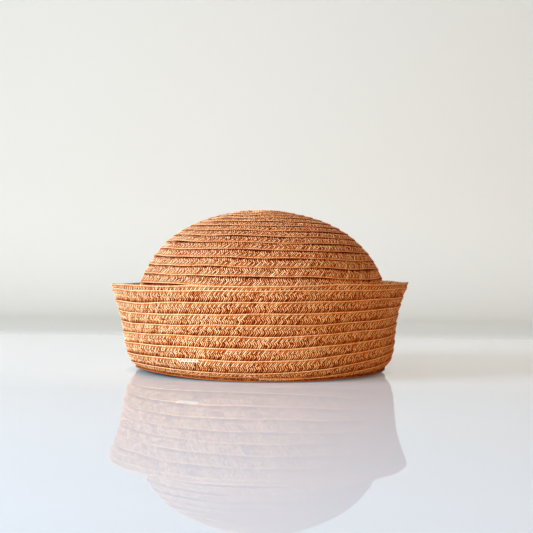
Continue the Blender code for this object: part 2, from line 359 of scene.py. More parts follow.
class Outline:
    """A side view of the hat's outer face: mean radius and height along its length."""

    def __init__(self, radius, height, outer_side):
        self.points = np.stack([radius, height], axis=1)
        steps = np.linalg.norm(np.diff(self.points, axis=0), axis=1)
        self.lengths = np.concatenate([[0.0], np.cumsum(steps)])
        self.total = self.lengths[-1]
        tangents = np.gradient(self.points, self.lengths, axis=0)
        self.tangents = tangents / np.linalg.norm(tangents, axis=1, keepdims=True)
        self.outer_side = outer_side

    def at(self, length, inset):
        """Radius and height at each length, this far inside the outer face."""
        inside = np.clip(length, 0, self.total)
        radius, height = (np.interp(inside, self.lengths, column) for column in self.points.T)
        along_r, along_z = (np.interp(inside, self.lengths, column) for column in self.tangents.T)
        past = length - inside
        radius = radius + past * along_r + self.outer_side * inset * along_z
        height = height + past * along_z - self.outer_side * inset * along_r
        return radius, height

    def length_at_height(self, height):
        """Where the outline passes this height, if it only falls or only climbs."""
        order = np.argsort(self.points[:, 1])
        return np.interp(height, self.points[order, 1], self.lengths[order])


class Ripple:
    """A smooth unevenness over a face, which closes on itself round the hat."""

    def __init__(self, seed):
        rng = np.random.default_rng(seed)
        self.lobes = rng.integers(*RIPPLE_LOBES, RIPPLE_WAVES)
        self.rows = rng.uniform(-RIPPLE_ROWS, RIPPLE_ROWS, RIPPLE_WAVES)
        self.phases = rng.uniform(0, FULL_TURN, RIPPLE_WAVES)

    def at(self, angle, length):
        total = 0.0
        for lobes, rows, phase in zip(self.lobes, self.rows, self.phases):
            total = total + np.sin(lobes * angle + rows * length + phase)
        return total / math.sqrt(len(self.lobes))


class Winding:
    """One braid wound along an outline, each turn a lap step deeper than the turn before it.

    Places on it are a turn, a way in from the proud edge that shows, and a lift off the outer face.
    """

    begin = 0.0

    def __init__(
        self, outline, row, first, start_angle, turns, lowest, seed,
        lean=1, step=0.0, lap_shade=NO_LAP_SHADE, fall_shade=0.0,
    ):
        self.outline = outline
        self.row = row
        self.first = first
        self.start_angle = start_angle
        self.turns = turns
        self.lowest = lowest
        self.lean = lean
        self.slope = step / row
        self.lap_shade = lap_shade
        self.fall_shade = fall_shade
        self.sway = Ripple(seed)
        self.dent = Ripple(seed + 1)
        self.wander = np.random.default_rng(seed + 2).uniform(0, FULL_TURN, len(WANDER_WAVES))

    def reach(self, turn):
        return self.first + self.row * turn

    def proud(self, turn):
        return np.minimum(self.reach(turn), self.outline.total)

    def width(self, turn):
        """How much of the braid's width is there: less at the eye, the foot and the tail."""
        tucked = np.maximum(self.reach(turn) - BRAID_WIDTH, self.lowest)
        return self.proud(turn) - tucked

    def inset(self, turn, length):
        return self.slope * (self.reach(turn) - length)

    def radius(self, turn):
        """Mean radius at the middle of the braid."""
        return self.outline.at(self.proud(turn) - self.width(turn) / 2, 0.0)[0]

    def hold(self, length):
        """Nought at both ends of the outline, where the row can't wander, and one between them."""
        ends = np.minimum(length, self.outline.total - length)
        return np.clip(ends / ROW_HOLD, 0, 1)

    def shift(self, angle, length):
        """How far the rows are pulled towards the outline's end, all of them together."""
        return 0.0

    def place(self, turn, across, lift):
        angle = self.start_angle + FULL_TURN * turn
        length = self.proud(turn) - across
        hold = self.hold(length)
        wander = sum(
            np.sin(FULL_TURN * turns * turn + phase)
            for turns, phase in zip(WANDER_WAVES, self.wander)
        )
        swayed = length + hold * (ROW_SWAY * self.sway.at(angle, length) + ROW_WANDER * wander)
        swayed = swayed + self.shift(angle, length)
        lift = lift + hold * DENT_DEPTH * self.dent.at(angle, length)
        radius, height = self.outline.at(swayed, self.inset(turn, length) - lift)
        return on_hat(angle, radius, height)


class CrownWinding(Winding):
    """The crown leans a little to the right, from above its foot."""

    def place(self, turn, across, lift):
        points = super().place(turn, across, lift)
        points[..., 0] += CROWN_LEAN * smooth((points[..., 2] - CROWN_LEAN_FOOT) / CROWN_LEAN_RISE)
        return points


class BrimWinding(Winding):
    """The brim's last turn is drawn down behind the one below it, so that a narrow row shows.

    Its rows are squeezed towards the edge on the right, where half a turn more comes out of the foot.
    """

    begin = BRIM_BEGIN

    def proud(self, turn):
        last = turn - (self.turns - 1)
        shown = np.interp(last, BRIM_TAIL_SHARES, (self.row, BRIM_TOP_ROW, BRIM_TOP_ROW, 0))
        return self.reach(turn) - self.row + shown

    def width(self, turn):
        angle = self.start_angle + FULL_TURN * turn
        return np.minimum(self.proud(turn) - self.before_squeeze(angle, self.lowest), BRAID_WIDTH)

    def hold(self, length):
        return np.clip(length / ROW_HOLD, 0, 1)

    def squeeze(self, angle):
        """By what share the rows at this angle are narrower, and the length that they are drawn to."""
        share = BRIM_SQUEEZE * bell(signed(angle), BRIM_SQUEEZE_SPREAD)
        return share, self.outline.total - BRIM_TOP_ROW

    def before_squeeze(self, angle, length):
        """The length that the squeeze takes to this one."""
        share, top = self.squeeze(angle)
        return (length - share * top) / (1 - share)

    def foot_seam(self, turn):
        """How far in from the proud edge the seam along the foot lies."""
        angle = self.start_angle + FULL_TURN * turn
        return self.proud(turn) - self.before_squeeze(angle, HEADLINE_SEAM)

    def shift(self, angle, length):
        rows_down = (self.outline.total - BRIM_TOP_ROW - length) / self.row
        pulled = 0.0
        for place, spread, row, rows, most in BRIM_SHIFTS:
            pulled = pulled + most * bell(signed(angle - place), spread) * bell(rows_down - row, rows)
        share, top = self.squeeze(angle)
        return pulled * np.clip(length / BRIM_SHIFT_FADE, 0, 1) + share * np.maximum(top - length, 0)


class Ring(Winding):
    """A braid that goes once round, folded along an outline, with no laps."""

    def __init__(self, outline, seed, lean):
        super().__init__(
            outline, row=1.0, first=outline.total, start_angle=BACK, turns=1, lowest=0.0,
            seed=seed, lean=lean,
        )

    def reach(self, turn):
        return self.first + 0 * turn

    def width(self, turn):
        return self.proud(turn)

    def hold(self, length):
        return 0.0


class Ribbon(Winding):
    """A ribbon inside the crown, whose last end laps inside its first. It follows the crown's dents."""

    def __init__(self, crown):
        first = crown.outline.total - SWEATBAND_LIFT
        super().__init__(
            crown.outline, row=1.0, first=first, start_angle=BACK, turns=SWEATBAND_TURNS, lowest=0.0,
            seed=0,
        )
        self.dent = crown.dent

    def reach(self, turn):
        return self.first + 0 * turn

    def inset(self, turn, length):
        return CROWN_DEPTH + SWEATBAND_GAP + SWEATBAND_STEP * turn

    def width(self, turn):
        return SWEATBAND_WIDTH + 0 * turn


def bell(away, spread):
    return np.exp(-((away / spread) ** 2))


def signed(angle):
    """The same angle between minus half a turn and half a turn."""
    return (angle + math.pi) % FULL_TURN - math.pi


def on_hat(angle, radius, height):
    """Points of the hat, a little long, whose foot bulges on the right and isn't quite flat."""
    rise = 0.0
    for place, spread, most in FOOT_LIFTS:
        rise = rise + most * bell(signed(angle - place), spread)
    lifted = height + rise * np.exp(-height / FOOT_LIFT_FADE)
    bulge = FOOT_BULGE * bell(signed(angle), FOOT_BULGE_SPREAD) * bell(height, FOOT_BULGE_FADE)
    across = WIDTH_SCALE * radius * np.cos(angle) + bulge
    along = LENGTH_SCALE * radius * np.sin(angle)
    return np.stack([across, along, lifted], axis=-1)


def crown_outline():
    """From the tip over the dome, which is a little fuller than an ellipse, and down the bowed wall."""
    widest = CROWN_FOOT_RADIUS + CROWN_SWELL
    turn = np.linspace(0, math.pi / 2, OUTLINE_SAMPLES)
    power = 2 / CROWN_FULLNESS
    rise = CROWN_HEIGHT - CROWN_WIDEST_HEIGHT
    dome_height = CROWN_WIDEST_HEIGHT + rise * np.abs(np.cos(turn)) ** power
    drop = np.linspace(0, 1, OUTLINE_SAMPLES)[1:]
    wall_height = CROWN_WIDEST_HEIGHT - (CROWN_WIDEST_HEIGHT - FOOT_HEIGHT) * drop
    radius = np.concatenate([widest * np.sin(turn) ** power, widest - CROWN_SWELL * drop**2])
    return Outline(radius, np.concatenate([dome_height, wall_height]), outer_side=1)


def brim_outline():
    """From the foot to the edge, along one cubic curve."""
    edge_radius = BRIM_FOOT_RADIUS + BRIM_FLARE
    handles = (
        (BRIM_FOOT_RADIUS, FOOT_HEIGHT),
        (BRIM_FOOT_RADIUS + BRIM_FOOT_REACH, FOOT_HEIGHT + BRIM_FOOT_RISE),
        (edge_radius - BRIM_EDGE_REACH, BRIM_HEIGHT - BRIM_EDGE_DROP),
        (edge_radius, BRIM_HEIGHT),
    )
    t = np.linspace(0, 1, OUTLINE_SAMPLES)
    weights = ((1 - t) ** 3, 3 * t * (1 - t) ** 2, 3 * t**2 * (1 - t), t**3)
    radius = sum(weight * handle[0] for weight, handle in zip(weights, handles))
    height = sum(weight * handle[1] for weight, handle in zip(weights, handles))
    return Outline(radius, height, outer_side=-1)


def headline_outline():
    """Down the outside of the fold, along its flat underside and up its inside."""
    middle = (HEADLINE_OUTER + HEADLINE_INNER) / 2
    half = (HEADLINE_OUTER - HEADLINE_INNER) / 2
    depth = HEADLINE_HEIGHT - HEADLINE_CLEARANCE
    turn = np.linspace(0, math.pi, OUTLINE_SAMPLES)
    radius = middle + half * np.sign(np.cos(turn)) * np.abs(np.cos(turn)) ** HEADLINE_SQUARENESS
    height = HEADLINE_HEIGHT - depth * np.sin(turn) ** HEADLINE_SQUARENESS
    return Outline(radius, height, outer_side=1)


def crown_winding():
    """Wound from the tip down, with the edge of a row at a known height at the front."""
    outline = crown_outline()
    turns_to_front = (outline.length_at_height(CROWN_FRONT_EDGE) - CROWN_FIRST_ROW) / CROWN_ROW
    turns = (outline.total + CROWN_ROW - CROWN_FIRST_ROW) / CROWN_ROW
    start = FRONT - FULL_TURN * turns_to_front
    return CrownWinding(
        outline, CROWN_ROW, CROWN_FIRST_ROW, start, turns, CROWN_EYE,
        seed=11, lean=1, step=CROWN_LAP_STEP, lap_shade=CROWN_LAP_SHADE, fall_shade=0.0,
    )


def brim_winding():
    """Wound from the foot up, with whole rows counted down from the edge at the front."""
    outline = brim_outline()
    first = outline.total - BRIM_TOP_ROW - BRIM_ROW * (BRIM_FULL_ROWS + 0.5)
    return BrimWinding(
        outline, BRIM_ROW, first, BACK, BRIM_FULL_ROWS + 2, -BRIM_FOOT_TUCK,
        seed=21, lean=-1, step=BRIM_LAP_STEP, lap_shade=BRIM_LAP_SHADE, fall_shade=BRIM_FALL_SHADE,
    )


class Shading:
    """Short ways to add and link nodes in a new material, or in a world."""

    def __init__(self, name, owner=None):
        self.material = owner or bpy.data.materials.new(name)
        self.material.use_nodes = True
        self.nodes = self.material.node_tree.nodes
        self.links = self.material.node_tree.links
        self.shader = self.nodes.get("Principled BSDF")

    def node(self, kind, output, **values):
        """The named output of a new node. Values are sockets to link or constants for its inputs."""
        node = self.nodes.new(kind)
        for name, value in values.items():
            self.feed(node.inputs[name.replace("_", " ")], value)
        return node.outputs[output]

    def feed(self, socket, value):
        if isinstance(value, bpy.types.NodeSocket):
            self.links.new(value, socket)
        else:
            socket.default_value = value

    def math(self, operation, *values):
        node = self.nodes.new("ShaderNodeMath")
        node.operation = operation
        for socket, value in zip(node.inputs, values):
            self.feed(socket, value)
        return node.outputs[0]

    def attribute(self, name, output):
        node = self.nodes.new("ShaderNodeAttribute")
        node.attribute_name = name
        return node.outputs[output]

    def scaled(self, vector, scale):
        node = self.nodes.new("ShaderNodeVectorMath")
        node.operation = "MULTIPLY"
        self.feed(node.inputs[0], vector)
        node.inputs[1].default_value = scale
        return node.outputs[0]

    def place(self):
        return self.nodes.new("ShaderNodeTexCoord").outputs["Object"]

    def seen(self):
        """One where the camera sees the surface, also in a mirror or through glass, or else nought."""
        rays = self.nodes.new("ShaderNodeLightPath").outputs
        direct = self.math("MAXIMUM", rays["Is Camera Ray"], rays["Is Glossy Ray"])
        return self.math("MAXIMUM", direct, rays["Is Transmission Ray"])

    def mixed(self, share, first, second):
        node = self.nodes.new("ShaderNodeMixShader")
        for socket, value in zip(node.inputs, (share, first, second)):
            self.feed(socket, value)
        return node.outputs["Shader"]

    def share(self, value, span):
        """From nought to one as a value goes through a span."""
        low, high = span
        return self.node("ShaderNodeMapRange", "Result", Value=value, From_Min=low, From_Max=high)

    def parts(self, vector):
        """The outputs X, Y and Z of a vector."""
        node = self.nodes.new("ShaderNodeSeparateXYZ")
        self.feed(node.inputs[0], vector)
        return node.outputs

    def noise(self, vector, scale, detail):
        return self.node("ShaderNodeTexNoise", "Fac", Vector=vector, Scale=scale, Detail=detail)

    def ramp(self, share, stops):
        node = self.nodes.new("ShaderNodeValToRGB")
        elements = node.color_ramp.elements
        while len(elements) < len(stops):
            elements.new(0.5)
        for element, (position, colour) in zip(elements, stops):
            element.position = position
            element.color = colour
        self.feed(node.inputs["Fac"], share)
        return node.outputs["Color"]

    def bump(self, height, strength, distance):
        values = {"Height": height, "Strength": strength, "Distance": distance}
        self.feed(self.shader.inputs["Normal"], self.node("ShaderNodeBump", "Normal", **values))


def straw_material(name, stops):
    """Straw whose colour follows the tone at each point, each straw's own tone with painted shade,
    mottled, with fine lengthwise fibres.
    """
    shading = Shading(name)
    along = shading.scaled(shading.attribute("fibre", "Vector"), (1 / FIBRE_WIDTH, 1 / FIBRE_LENGTH, 1))
    fibres = shading.noise(along, scale=1.0, detail=2.0)
    stain = shading.noise(shading.place(), scale=STAIN_SCALE, detail=2.0)
    # The tone attribute holds each straw's own tone and the painted shade of its edges, undersides, seam
    # and laps
    tone = shading.math("MULTIPLY_ADD", fibres, FIBRE_TONE, shading.attribute("tone", "Fac"))
    tone = shading.math("MULTIPLY_ADD", stain, STAIN_TONE, tone)
    tone = shading.math("SUBTRACT", tone, (FIBRE_TONE + STAIN_TONE) / 2)
    shading.feed(shading.shader.inputs["Base Color"], shading.ramp(tone, stops))
    rough = shading.math("MULTIPLY_ADD", fibres, FIBRE_GLOSS, STRAW_ROUGHNESS - FIBRE_GLOSS / 2)
    shading.feed(shading.shader.inputs["Roughness"], rough)
    shading.bump(fibres, strength=0.3, distance=0.00012)
    shading.shader.inputs["Specular IOR Level"].default_value = STRAW_SPECULAR
    return shading.material


def thread_material(name, colours, roughness):
    """Twisted thread, with painted shade darkening it between its plies."""
    shading = Shading(name)
    per_radius = 1 / THREAD_RADIUS
    twist = shading.scaled(shading.attribute("fibre", "Vector"), (per_radius, per_radius, 1))
    parts = shading.parts(twist)
    slant = shading.math("ADD", parts["X"], parts["Y"])
    # Painted shade: a sine across the twist darkens the thread between its plies
    ply = shading.math("SINE", shading.math("MULTIPLY", slant, THREAD_PLIES))
    fuzz = shading.noise(twist, scale=THREAD_FUZZ_SCALE, detail=2.0)
    share = shading.math("MULTIPLY_ADD", ply, THREAD_PLY_SHADE, fuzz)
    stops = tuple(zip(THREAD_STOPS, colours))
    shading.feed(shading.shader.inputs["Base Color"], shading.ramp(share, stops))
    shading.bump(share, strength=0.4, distance=0.0001)
    shading.shader.inputs["Roughness"].default_value = roughness
    shading.shader.inputs["Sheen Weight"].default_value = THREAD_SHEEN
    return shading.material


def ribbon_material(name, colours):
    """Grosgrain, whose ribs are modelled: fine threads along each rib, worn paler in patches."""
    shading = Shading(name)
    stretched = shading.scaled(shading.place(), RIBBON_WEAVE_STRETCH)
    weave = shading.noise(stretched, scale=RIBBON_WEAVE_SCALE, detail=2.0)
    wear = shading.noise(shading.place(), scale=RIBBON_WEAR_SCALE, detail=3.0)
    share = shading.math("MULTIPLY_ADD", weave, 0.5, shading.math("MULTIPLY", wear, 0.5))
    stops = tuple(zip(RIBBON_STOPS, colours))
    shading.feed(shading.shader.inputs["Base Color"], shading.ramp(share, stops))
    shading.bump(weave, strength=0.4, distance=0.0001)
    shading.shader.inputs["Roughness"].default_value = RIBBON_ROUGHNESS
    shading.shader.inputs["Sheen Weight"].default_value = RIBBON_SHEEN
    return shading.material


def tube_faces(tubes, rings, corners):
    """Quads of closed tubes, as vertex numbers, and the quads of a cap, as corner numbers."""
    index = np.arange(tubes * rings * corners).reshape(tubes, rings, corners)
    low, high = index[:, :-1], index[:, 1:]
    sides = np.stack([low, np.roll(low, -1, 2), np.roll(high, -1, 2), high], axis=-1)
    cap = [(c, c + 1, corners - 2 - c, corners - 1 - c) for c in range(corners // 2 - 1)]
    ends = np.stack([index[:, -1][:, quad] for quad in cap], axis=1)
    starts = np.stack([index[:, 0][:, quad[::-1]] for quad in cap], axis=1)
    faces = np.concatenate([part.reshape(-1, 4) for part in (sides, ends, starts)])
    return faces, cap


def tube_map(tubes, rings, corners, cap):
    """A map with a cell for each stretch of rings of a tube, unrolled, and its caps above it."""
    blocks = math.ceil((rings - 1) / MAP_BLOCK)
    span = min(MAP_BLOCK, rings - 1)
    columns = math.ceil(math.sqrt(tubes * blocks))
    counts = (np.arange(tubes), np.arange(rings - 1), np.arange(corners))
    tube, ring, corner = np.meshgrid(*counts, indexing="ij")
    cell = tube * blocks + ring // MAP_BLOCK
    u = np.stack([corner, corner + 1, corner + 1, corner], axis=-1) / corners
    along = ring % MAP_BLOCK
    v = np.stack([along, along, along + 1, along + 1], axis=-1) / span
    side_u = MAP_MARGIN + MAP_SIDE_WIDTH * u
    side_v = MAP_MARGIN + MAP_SIDE_HEIGHT * v
    parts = [(cell[..., None] + np.zeros(4, int), side_u, side_v)]
    turn = FULL_TURN * np.arange(corners) / corners
    shape = (tubes, len(cap), 4)
    for end_block, middle, order in zip((blocks - 1, 0), MAP_CAP_PLACES, (1, -1)):
        quads = np.array([quad[::order] for quad in cap])
        cap_cell = (np.arange(tubes) * blocks + end_block)[:, None, None]
        cap_u = middle + MAP_CAP_HALF_WIDTH * np.cos(turn)[quads]
        cap_v = MAP_CAP_HEIGHT + MAP_CAP_HALF_HEIGHT * np.sin(turn)[quads]
        parts.append([np.broadcast_to(part, shape) for part in (cap_cell, cap_u, cap_v)])
    cells, us, vs = (np.concatenate([part[i].reshape(-1) for part in parts]) for i in range(3))
    return np.stack([(cells % columns + us) / columns, (cells // columns + vs) / columns], axis=-1)


def fibre_places(rings):
    """Across, along and number of each tube at its points, for the fibres of its material."""
    middles = rings.mean(axis=2, keepdims=True)
    steps = np.linalg.norm(np.diff(middles[:, :, 0], axis=1), axis=-1)
    along = np.pad(np.cumsum(steps, axis=1), ((0, 0), (1, 0)))[..., None]
    size = np.linalg.norm(rings - middles, axis=-1).max(axis=2, keepdims=True)
    corners = rings.shape[2]
    across = size * np.cos(FULL_TURN * np.arange(corners) / corners)
    number = FIBRE_SEPARATION * np.arange(len(rings))[:, None, None]
    return np.stack(np.broadcast_arrays(across, along, number), axis=-1)


def inside_out(points, faces):
    """Whether the faces of closed quads look inwards."""
    a, b, c, d = (points[faces[:, i]] - points.mean(axis=0) for i in range(4))
    halves = (np.einsum("ij,ij->i", a, np.cross(*pair)) for pair in ((b, c), (c, d)))
    return sum(halves).sum() < 0


def tube_object(name, rings, tones, material):
    """An object of closed tubes. rings is tubes by rings by corners by 3, and tones goes with it."""
    tubes, count, corners, _ = rings.shape
    faces, cap = tube_faces(tubes, count, corners)
    bake_map = tube_map(tubes, count, corners, cap).reshape(-1, 4, 2)
    points = rings.reshape(-1, 3)
    if inside_out(points, faces):
        faces = faces[:, ::-1]
        bake_map = bake_map[:, ::-1]
    mesh = bpy.data.meshes.new(name)
    mesh.vertices.add(len(points))
    mesh.vertices.foreach_set("co", points.astype(np.float32).ravel())
    mesh.loops.add(faces.size)
    mesh.loops.foreach_set("vertex_index", faces.astype(np.int32).ravel())
    mesh.polygons.add(len(faces))
    mesh.polygons.foreach_set("loop_start", np.arange(0, faces.size, 4, dtype=np.int32))
    mesh.update(calc_edges=True)
    uv = mesh.uv_layers.new(name="OFBake")
    uv.uv.foreach_set("vector", bake_map.astype(np.float32).ravel())
    tone = mesh.attributes.new("tone", "FLOAT", "POINT")
    spread = np.broadcast_to(tones, (tubes, count, corners))
    tone.data.foreach_set("value", spread.astype(np.float32).ravel())
    fibre = mesh.attributes.new("fibre", "FLOAT_VECTOR", "POINT")
    fibre.data.foreach_set("vector", fibre_places(rings).astype(np.float32).ravel())
    mesh.shade_smooth()
    mesh.materials.append(material)
    obj = bpy.data.objects.new(name, mesh)
    bpy.context.scene.collection.objects.link(obj)
    return obj


def piece(obj, node):
    """A piece of the hat that stands for a solid: it hangs from the root and hides that solid's part."""
    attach(obj, "root")
    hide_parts(node)


def laid_tubes(winding, turn, along, across, lift, half_width, half_thickness, corners):
    """Rings of tubes laid on a winding. Each array is tubes by rings; along is at the braid's middle."""
    step_along = np.gradient(along, axis=1)
    step_across = np.gradient(across, axis=1)
    size = np.hypot(step_along, step_across)
    side_along, side_across = -step_across / size, step_along / size
    corner = FULL_TURN * np.arange(corners) / corners
    out = half_width[..., None] * np.cos(corner)
    up = half_thickness[..., None] * np.sin(corner)
    metres_per_turn = FULL_TURN * winding.radius(turn)[..., None]
    at_turn = turn[..., None] + (along[..., None] + side_along[..., None] * out) / metres_per_turn
    at_across = across[..., None] + side_across[..., None] * out
    return winding.place(at_turn, at_across, lift[..., None] + up)


def even_turns(winding, first, last, pitch):
    """Turns of places a pitch apart along the middle of the braid."""
    fine = np.linspace(first, last, max(int((last - first) * TURN_SAMPLES), LEAST_SAMPLES))
    radius = winding.radius(fine)
    pieces = np.diff(fine) * FULL_TURN * (radius[1:] + radius[:-1]) / 2
    lengths = np.concatenate([[0.0], np.cumsum(pieces)])
    count = int(lengths[-1] / pitch)
    return np.interp((np.arange(count) + 0.5) * pitch, lengths, fine)


def smooth(share):
    share = np.clip(share, 0, 1)
    return share * share * (3 - 2 * share)


def crossing(past):
    """From nought to one as a straw dives under the others."""
    return smooth((past + CROSSING_HALF) / (2 * CROSSING_HALF))


def straws(winding, starts, near, tone, rng):
    """Rings and tones of the straws that show in the half of the braid near its proud edge, or far."""
    shares = NEAR_SHARES if near else FAR_SHARES
    count = len(starts)
    shift = rng.normal(0, STRAW_SHIFT_SPREAD * STRAW_PITCH, count) / (FULL_TURN * winding.radius(starts))
    turn = np.repeat((starts + shift)[:, None], len(shares), axis=1)
    across = np.array(shares) * winding.width(turn)
    direction = winding.lean if near else -winding.lean
    first, second = CROSSING_PLACES
    lean = rng.normal(1, STRAW_LEAN_SPREAD, count)[:, None] * direction
    along = lean * (LEAN_NEAR * np.minimum(across, first) + LEAN_FAR * np.maximum(across - first, 0))
    uneven = rng.normal(0, CROSSING_SPREAD, count)[:, None]
    crossed = crossing(across - first - uneven) - crossing(across - second - uneven)
    inside = crossed if near else 1 - crossed
    seam = bell(across - LAP_SEAM, SEAM_SPREAD) * (1 - inside) * near
    over = (-1.0) ** np.arange(count)[:, None]
    pair = bell(across - PAIR_PLACE, PAIR_SPREAD) * (1 - inside) * near
    lift = OUTER_LAYER + (INNER_LAYER - OUTER_LAYER) * inside - SEAM_DIP * seam
    lift = lift - PAIR_DIP * pair * (over < 0) + rng.normal(0, STRAW_LIFT_SPREAD, count)[:, None]
    slant = 1 / np.hypot(1, np.where(across < first, LEAN_NEAR, LEAN_FAR))
    spread = np.maximum(np.minimum(COVER_RISE * inside, 1), seam)
    cover = STRAW_COVER + (INNER_COVER - STRAW_COVER) * spread
    half_width = cover * STRAW_PITCH / 2 * slant * rng.normal(1, STRAW_WIDTH_SPREAD, count)[:, None]
    half_width = half_width * (1 + PAIR_SWELL * over * pair)
    half_thickness = np.full_like(half_width, STRAW_THICKNESS / 2)
    rings = laid_tubes(winding, turn, along, across, lift, half_width, half_thickness, STRAW_CORNERS)
    corner = FULL_TURN * np.arange(STRAW_CORNERS) / STRAW_CORNERS
    # Of a straw's six corners, two are its edges and those two and the two above are its outer side
    edge = np.abs(np.cos(corner)) > 0.9
    outer = np.sin(corner) > -0.1
    # Painted shade on each straw's faces that lie under the other layer of straws, seen from either side
    under = np.where(outer, inside[..., None], 1 - inside[..., None])
    lap_shade, lap_width = winding.lap_shade
    # Painted shadow on the outer faces, where the row goes under the next row's proud edge
    painted_shade = lap_shade * smooth((across - winding.row + lap_width) / lap_width)
    # Painted shade towards the far part of each row
    painted_shade = painted_shade + winding.fall_shade * smooth((across - PAIR_PLACE) / FALL_WIDTH)
    tones = rng.normal(tone, STRAW_TONE_SPREAD, count)[:, None]
    # Painted shade in the groove along the seam
    tones = (tones + SEAM_SHADE * seam + PAIR_TONE * over * pair)[..., None]
    # Painted shade along each straw's edges, less in the seam
    sides = SIDE_SHADE * edge * (1 - seam[..., None])
    return rings, tones + sides + UNDER_SHADE * under + painted_shade[..., None] * outer


def braid(name, winding, parts, tone, node, material, seed):
    """The straws of a winding, in several pieces of about as many straws each."""
    starts = even_turns(winding, winding.begin, winding.turns, STRAW_PITCH)
    rng = np.random.default_rng(seed)
    for number, share in enumerate(np.array_split(starts, parts), 1):
        for side, near in (("near", True), ("far", False)):
            rings, tones = straws(winding, share, near, tone, rng)
            piece(tube_object(f"{name}_{side}_straws_{number}", rings, tones, material), node)


def selvage(name, winding, outer, tones, node, material, seed):
    """The rounded edge of a braid, where its straws turn back: the proud one, or the tucked one.

    The tones are the middle one and how far it rises and falls where the straws turn.
    """
    turn = even_turns(winding, winding.begin, winding.turns, STRAW_PITCH / 2)[None, :, None]
    count = turn.shape[1]
    rng = np.random.default_rng(seed)
    over = (-1.0) ** np.arange(count)[None, :, None]
    radius = SELVAGE_RADIUS * (1 + SELVAGE_SWELL * over)
    corner = FULL_TURN * np.arange(STRAW_CORNERS) / STRAW_CORNERS
    across = SELVAGE_INSET if outer else winding.width(turn) - SELVAGE_INSET
    lift = SELVAGE_DEPTH + radius * np.sin(corner)
    rings = winding.place(turn + 0 * corner, across + radius * np.cos(corner), lift)
    tone, turning = tones
    shades = rng.normal(tone, SELVAGE_TONE_SPREAD, (1, count, 1)) + turning * over
    piece(tube_object(name, rings, shades, material), node)


def stitch_row(name, winding, turns, across, lift, node, material, seed):
    """A row of stitches, each a short arch of thread that dives into the straw at both ends.

    Their way in from the proud edge is a size, or a function of the turn.
    """
    shares = np.array(STITCH_SHARES)
    turn = np.repeat(even_turns(winding, *turns, STITCH_PITCH)[:, None], len(shares), axis=1)
    rng = np.random.default_rng(seed)
    along = np.broadcast_to(STITCH_LENGTH * shares, turn.shape)
    slant = rng.normal(0, STITCH_SLANT_SPREAD, (len(turn), 1)) * shares
    uneven = slant + rng.normal(0, STITCH_SWAY, (len(turn), 1))
    seam = across(turn) if callable(across) else across
    radius = np.full(turn.shape, THREAD_RADIUS)
    lift = np.broadcast_to(lift + np.array(STITCH_ARCH), turn.shape)
    rings = laid_tubes(winding, turn, along, seam + uneven, lift, radius, radius, THREAD_CORNERS)
    piece(tube_object(name, rings, 0.5, material), node)


def mending(name, winding, material):
    """A zigzag of white thread over the sewing line of one row, with its first end drawn up."""
    turn_of_angle = (MENDING_ANGLE - winding.start_angle) / FULL_TURN + MENDING_ROW
    legs = np.linspace(0, 2 * MENDING_STITCHES, MENDING_STEPS * MENDING_STITCHES + 1)[None, :]
    along = (legs / 2 - MENDING_STITCHES / 2) * MENDING_STITCH_LENGTH
    zigzag = np.arcsin(MENDING_SHARPNESS * np.cos(math.pi * legs)) / math.asin(MENDING_SHARPNESS)
    across = LAP_SEAM + MENDING_DROP + zigzag * MENDING_STITCH_RISE / 2
    across = across - MENDING_TAIL * np.exp(-legs / MENDING_TAIL_FADE)
    lift = MENDING_LIFT - MENDING_DIVE * np.abs(zigzag) ** 3
    radius = np.full(along.shape, MENDING_RADIUS)
    turn = np.full(along.shape, turn_of_angle)
    rings = laid_tubes(winding, turn, along, across, lift, radius, radius, MENDING_CORNERS)
    piece(tube_object(name, rings, 0.5, material), "mending_thread")


def headline(name, ring, material):
    """The folded braid that the hat stands on, and the cord-like lip along its outside."""
    braid(name, ring, 1, HEADLINE_TONE, "headline_braid", material, seed=41)
    steps = np.linspace(0, 1, LIP_POINTS)[None, :, None]
    corner = FULL_TURN * np.arange(STRAW_CORNERS) / STRAW_CORNERS
    swell = LIP_RADIUS * (1 + SELVAGE_SWELL * (-1.0) ** np.arange(LIP_POINTS))[None, :, None]
    angle = BACK + FULL_TURN * LIP_SPAN * steps + 0 * corner
    radius = LIP_PLACE[0] + swell * np.cos(corner)
    rings = on_hat(angle, radius, LIP_PLACE[1] + swell * np.sin(corner))
    tones = np.random.default_rng(LIP_SEED).normal(LIP_TONE, SELVAGE_TONE_SPREAD, (1, LIP_POINTS, 1))
    piece(tube_object(f"{name}_lip", rings, tones, material), "headline_braid")


def sweatband(name, ribbon, material):
    """A ribbed ribbon, closed all round, whose faces follow its ribs."""
    turn = even_turns(ribbon, 0.0, ribbon.turns, RIB_PITCH / RIB_STEPS)[None, :, None]
    rib = RIB_DEPTH * np.cos(FULL_TURN / RIB_STEPS * np.arange(turn.shape[1]))[None, :, None]
    across = np.linspace(0, SWEATBAND_WIDTH, SWEATBAND_POINTS)
    edges = np.concatenate([across, across[::-1]])
    side = np.repeat((1.0, -1.0), SWEATBAND_POINTS)
    middle = -SWEATBAND_THICKNESS / 2
    lift = middle + side * (SWEATBAND_THICKNESS / 2 - RIB_DEPTH + rib)
    rings = ribbon.place(turn + 0 * edges, edges + 0 * turn, lift)
    band = tube_object(name, rings, 0.5, material)
    piece(band, "sweatband")


